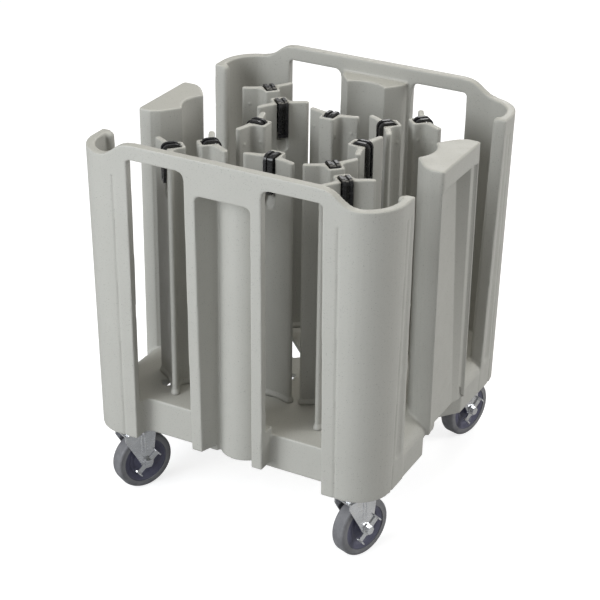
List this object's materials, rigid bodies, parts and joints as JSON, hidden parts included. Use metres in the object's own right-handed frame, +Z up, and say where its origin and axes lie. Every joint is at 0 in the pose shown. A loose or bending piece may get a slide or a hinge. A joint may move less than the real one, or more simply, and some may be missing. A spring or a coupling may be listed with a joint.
{
  "type": "plate cart",
  "caption": "Moulded plate cart: open grey caddy with side windows, sliding divider towers with straps, and braked swivel casters.",
  "frame": {"origin": "on the floor under the middle of the caddy body", "axes": "+Z up, -Y out of the front wall, +X to the right seen from the front"},
  "size_m": [0.68, 0.681, 0.816],
  "materials": {
    "moulding": "satin, fine dark speckle",
    "strap": "glossy",
    "tread": "satin",
    "wheel_core": "satin",
    "zinc": "bright zinc plate"
  },
  "bodies": {
    "caddy": {"caddy_body": "moulding", "caster_bolts": "zinc", "plate_1": "zinc", "plate_2": "zinc", "plate_3": "zinc", "plate_4": "zinc", "kingpin_1": "zinc", "kingpin_2": "zinc", "kingpin_3": "zinc", "kingpin_4": "zinc"},
    "divider_1": {"tower_1": "moulding", "strap_1": "strap"},
    "divider_2": {"tower_2": "moulding", "strap_2": "strap"},
    "divider_3": {"tower_3": "moulding", "strap_3": "strap"},
    "divider_4": {"tower_4": "moulding", "strap_4": "strap"},
    "divider_5": {"tower_5": "moulding", "strap_5": "strap"},
    "divider_6": {"tower_6": "moulding", "strap_6": "strap"},
    "divider_7": {"tower_7": "moulding", "strap_7": "strap"},
    "divider_8": {"tower_8": "moulding", "strap_8": "strap"},
    "divider_9": {"tower_9": "moulding", "strap_9": "strap"},
    "divider_10": {"tower_10": "moulding", "strap_10": "strap"},
    "divider_11": {"tower_11": "moulding", "strap_11": "strap"},
    "divider_12": {"tower_12": "moulding", "strap_12": "strap"},
    "swivel_1": {"fork_1": "zinc", "axle_1": "zinc"},
    "roller_1": {"wheel_1": "wheel_core", "tyre_1": "tread"},
    "rocker_1": {"brake_1": "zinc"},
    "swivel_2": {"fork_2": "zinc", "axle_2": "zinc"},
    "roller_2": {"wheel_2": "wheel_core", "tyre_2": "tread"},
    "rocker_2": {"brake_2": "zinc"},
    "swivel_3": {"fork_3": "zinc", "axle_3": "zinc"},
    "roller_3": {"wheel_3": "wheel_core", "tyre_3": "tread"},
    "rocker_3": {"brake_3": "zinc"},
    "swivel_4": {"fork_4": "zinc", "axle_4": "zinc"},
    "roller_4": {"wheel_4": "wheel_core", "tyre_4": "tread"},
    "rocker_4": {"brake_4": "zinc"}
  },
  "joints": [
    {"name": "slide_1", "type": "slide", "parent": "caddy", "child": "divider_1", "axis": [-0.7071, 0.7071, 0], "range_m": [0, 0.015]},
    {"name": "slide_2", "type": "slide", "parent": "caddy", "child": "divider_2", "axis": [-0.7071, 0.7071, 0], "range_m": [0, 0.015]},
    {"name": "slide_3", "type": "slide", "parent": "caddy", "child": "divider_3", "axis": [-1, 0, 0], "range_m": [-0.03, 0]},
    {"name": "slide_4", "type": "slide", "parent": "caddy", "child": "divider_4", "axis": [0, 1, 0], "range_m": [-0.03, 0]},
    {"name": "slide_5", "type": "slide", "parent": "caddy", "child": "divider_5", "axis": [0.7071, 0.7071, 0], "range_m": [0, 0.015]},
    {"name": "slide_6", "type": "slide", "parent": "caddy", "child": "divider_6", "axis": [1, 0, 0], "range_m": [-0.03, 0]},
    {"name": "slide_7", "type": "slide", "parent": "caddy", "child": "divider_7", "axis": [0.7071, 0.7071, 0], "range_m": [0, 0.03]},
    {"name": "slide_8", "type": "slide", "parent": "caddy", "child": "divider_8", "axis": [0, -1, 0], "range_m": [-0.03, 0]},
    {"name": "slide_9", "type": "slide", "parent": "caddy", "child": "divider_9", "axis": [0.7071, -0.7071, 0], "range_m": [0, 0.015]},
    {"name": "slide_10", "type": "slide", "parent": "caddy", "child": "divider_10", "axis": [0.7071, -0.7071, 0], "range_m": [0, 0.03]},
    {"name": "slide_11", "type": "slide", "parent": "caddy", "child": "divider_11", "axis": [-0.7071, -0.7071, 0], "range_m": [0, 0.015]},
    {"name": "slide_12", "type": "slide", "parent": "caddy", "child": "divider_12", "axis": [-0.7071, -0.7071, 0], "range_m": [0, 0.015]},
    {"name": "caster_swivel_1", "type": "hinge", "parent": "caddy", "child": "swivel_1", "pos_m": [-0.259, -0.265, 0.14], "axis": [0, 0, 1], "continuous": true},
    {"name": "wheel_roll_1", "type": "hinge", "parent": "swivel_1", "child": "roller_1", "pos_m": [-0.25149, -0.25087, 0.0635], "axis": [-0.8829, 0.4695, 0], "continuous": true},
    {"name": "brake_rock_1", "type": "hinge", "parent": "swivel_1", "child": "rocker_1", "pos_m": [-0.25149, -0.25087, 0.0635], "axis": [-0.8829, 0.4695, 0], "range_deg": [0, 14]},
    {"name": "caster_swivel_2", "type": "hinge", "parent": "caddy", "child": "swivel_2", "pos_m": [0.259, -0.265, 0.14], "axis": [0, 0, 1], "continuous": true},
    {"name": "wheel_roll_2", "type": "hinge", "parent": "swivel_2", "child": "roller_2", "pos_m": [0.26447, -0.24996, 0.0635], "axis": [-0.9397, 0.342, 0], "continuous": true},
    {"name": "brake_rock_2", "type": "hinge", "parent": "swivel_2", "child": "rocker_2", "pos_m": [0.26447, -0.24996, 0.0635], "axis": [-0.9397, 0.342, 0], "range_deg": [0, 14]},
    {"name": "caster_swivel_3", "type": "hinge", "parent": "caddy", "child": "swivel_3", "pos_m": [0.259, 0.265, 0.14], "axis": [0, 0, 1], "continuous": true},
    {"name": "wheel_roll_3", "type": "hinge", "parent": "swivel_3", "child": "roller_3", "pos_m": [0.26341, 0.28038, 0.0635], "axis": [-0.9613, 0.2756, 0], "continuous": true},
    {"name": "brake_rock_3", "type": "hinge", "parent": "swivel_3", "child": "rocker_3", "pos_m": [0.26341, 0.28038, 0.0635], "axis": [-0.9613, 0.2756, 0], "range_deg": [0, 14]},
    {"name": "caster_swivel_4", "type": "hinge", "parent": "caddy", "child": "swivel_4", "pos_m": [-0.259, 0.265, 0.14], "axis": [0, 0, 1], "continuous": true},
    {"name": "wheel_roll_4", "type": "hinge", "parent": "swivel_4", "child": "roller_4", "pos_m": [-0.25301, 0.27984, 0.0635], "axis": [-0.9272, 0.3746, 0], "continuous": true},
    {"name": "brake_rock_4", "type": "hinge", "parent": "swivel_4", "child": "rocker_4", "pos_m": [-0.25301, 0.27984, 0.0635], "axis": [-0.9272, 0.3746, 0], "range_deg": [0, 14]}
  ]
}
